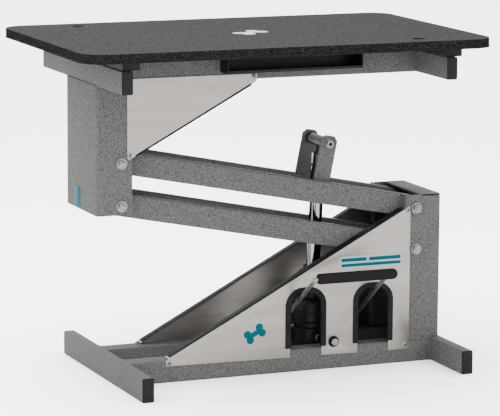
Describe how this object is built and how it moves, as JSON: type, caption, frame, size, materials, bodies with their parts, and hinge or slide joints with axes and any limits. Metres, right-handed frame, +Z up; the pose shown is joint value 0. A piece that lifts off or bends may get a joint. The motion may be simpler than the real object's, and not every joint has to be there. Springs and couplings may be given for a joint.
{
  "type": "grooming table",
  "caption": "Pet grooming table on a foot-pumped parallel-arm lift: welded base with side panels, offset posts, sloping arms, piston, U-shaped pedal, tray and wide rounded top.",
  "frame": {"origin": "on the floor, under the middle of the tabletop's outline", "axes": "+X along the tabletop towards the right post, +Y to the rear, away from the pedal, +Z up"},
  "size_m": [1.064, 0.664, 0.846],
  "materials": {
    "hammered_grey": "hammered grey enamel, low gloss",
    "brushed_stainless": "brushed grain along the sheet",
    "black_plastic": "moulded, fine grain",
    "black_rubber": "matte edge rubber",
    "zinc_steel": "bright zinc plate",
    "chrome": "polished hard chrome",
    "black_paint": "satin black enamel",
    "foam": "closed-cell foam sleeve",
    "batten_wood": "black-stained spacer",
    "table_top": "board in a pebbled charcoal rubber skin, rough black speckled edge"
  },
  "bodies": {
    "base": {"left_foot": "hammered_grey", "left_foot_front_cap": "black_plastic", "left_foot_rear_cap": "black_plastic", "right_foot": "hammered_grey", "right_foot_front_cap": "black_plastic", "right_foot_rear_cap": "black_plastic", "front_base_rail": "hammered_grey", "rear_base_rail": "hammered_grey", "right_post": "hammered_grey", "front_side_panel": "brushed_stainless", "rear_side_panel": "brushed_stainless", "front_panel_left_screw": "zinc_steel", "front_panel_lower_right_screw": "zinc_steel", "front_panel_upper_right_screw": "zinc_steel", "front_panel_edge_trim": "black_rubber", "rear_panel_edge_trim": "black_rubber", "left_arch_trim": "black_rubber", "right_arch_trim": "black_rubber", "panel_bolt_grommet": "black_rubber", "panel_hex_bolt": "zinc_steel", "right_upper_pivot_bolt": "zinc_steel", "right_lower_pivot_bolt": "zinc_steel", "front_pump_bracket": "black_paint", "rear_pump_bracket": "black_paint", "pump_pivot_pin": "zinc_steel"},
    "upper_arm": {"upper_arm_frame": "hammered_grey", "front_lift_ear": "hammered_grey", "rear_lift_ear": "hammered_grey", "lift_pin": "zinc_steel", "lift_pin_nut": "zinc_steel"},
    "lower_arm": {"lower_arm_frame": "hammered_grey"},
    "carriage": {"left_post": "hammered_grey", "left_upper_pivot_bolt": "zinc_steel", "left_lower_pivot_bolt": "zinc_steel", "left_cross_tube": "hammered_grey", "left_cross_tube_front_cap": "black_plastic", "left_cross_tube_rear_cap": "black_plastic", "right_cross_tube": "hammered_grey", "right_cross_tube_front_cap": "black_plastic", "right_cross_tube_rear_cap": "black_plastic", "front_beam": "hammered_grey", "rear_beam": "hammered_grey", "left_batten": "batten_wood", "right_batten": "batten_wood", "front_gusset_panel": "brushed_stainless", "rear_gusset_panel": "brushed_stainless", "front_gusset_lower_screw": "zinc_steel", "front_gusset_right_screw": "zinc_steel", "front_gusset_edge_trim": "black_rubber", "rear_gusset_edge_trim": "black_rubber", "accessory_tray": "black_paint", "tabletop": "table_top"},
    "pump": {"pump_body": "black_paint", "pump_cylinder": "black_paint"},
    "piston": {"piston_rod": "chrome", "piston_rod_end": "black_paint"},
    "pedal": {"foot_pedal_bar": "zinc_steel", "foot_pedal_grip": "foam"}
  },
  "joints": [
    {"name": "lift", "type": "hinge", "parent": "base", "child": "upper_arm", "pos_m": [0.424, 0, 0.3958], "axis": [0, 1, 0], "range_deg": [-16, 12]},
    {"name": "lower_arm_swing", "type": "hinge", "parent": "base", "child": "lower_arm", "pos_m": [0.424, 0, 0.291], "axis": [0, 1, 0], "range_deg": [-16, 12]},
    {"name": "carriage_level", "type": "hinge", "parent": "upper_arm", "child": "carriage", "pos_m": [-0.36599, 0, 0.55208], "axis": [0, 1, 0], "range_deg": [-12, 16]},
    {"name": "pump_tilt", "type": "hinge", "parent": "base", "child": "pump", "pos_m": [0.183, 0, 0.07], "axis": [0, 1, 0], "range_deg": [-5.5, 4.5]},
    {"name": "rod_end_pivot", "type": "hinge", "parent": "upper_arm", "child": "piston", "pos_m": [0.20288, 0, 0.56421], "axis": [0, 1, 0], "range_deg": [-9, 12]},
    {"name": "pedal_press", "type": "hinge", "parent": "pump", "child": "pedal", "pos_m": [0.183, 0, 0.095], "axis": [1, 0, 0], "range_deg": [0, 22], "stiffness_Nm_per_rad": 14, "springref_deg": -20.05}
  ],
  "couplings": [
    {"joint": "lower_arm_swing", "follows": "lift", "ratio": 1},
    {"joint": "carriage_level", "follows": "lift", "ratio": -1},
    {"joint": "pump_tilt", "follows": "lift", "ratio": 0.3145},
    {"joint": "rod_end_pivot", "follows": "lift", "ratio": -0.6855}
  ]
}
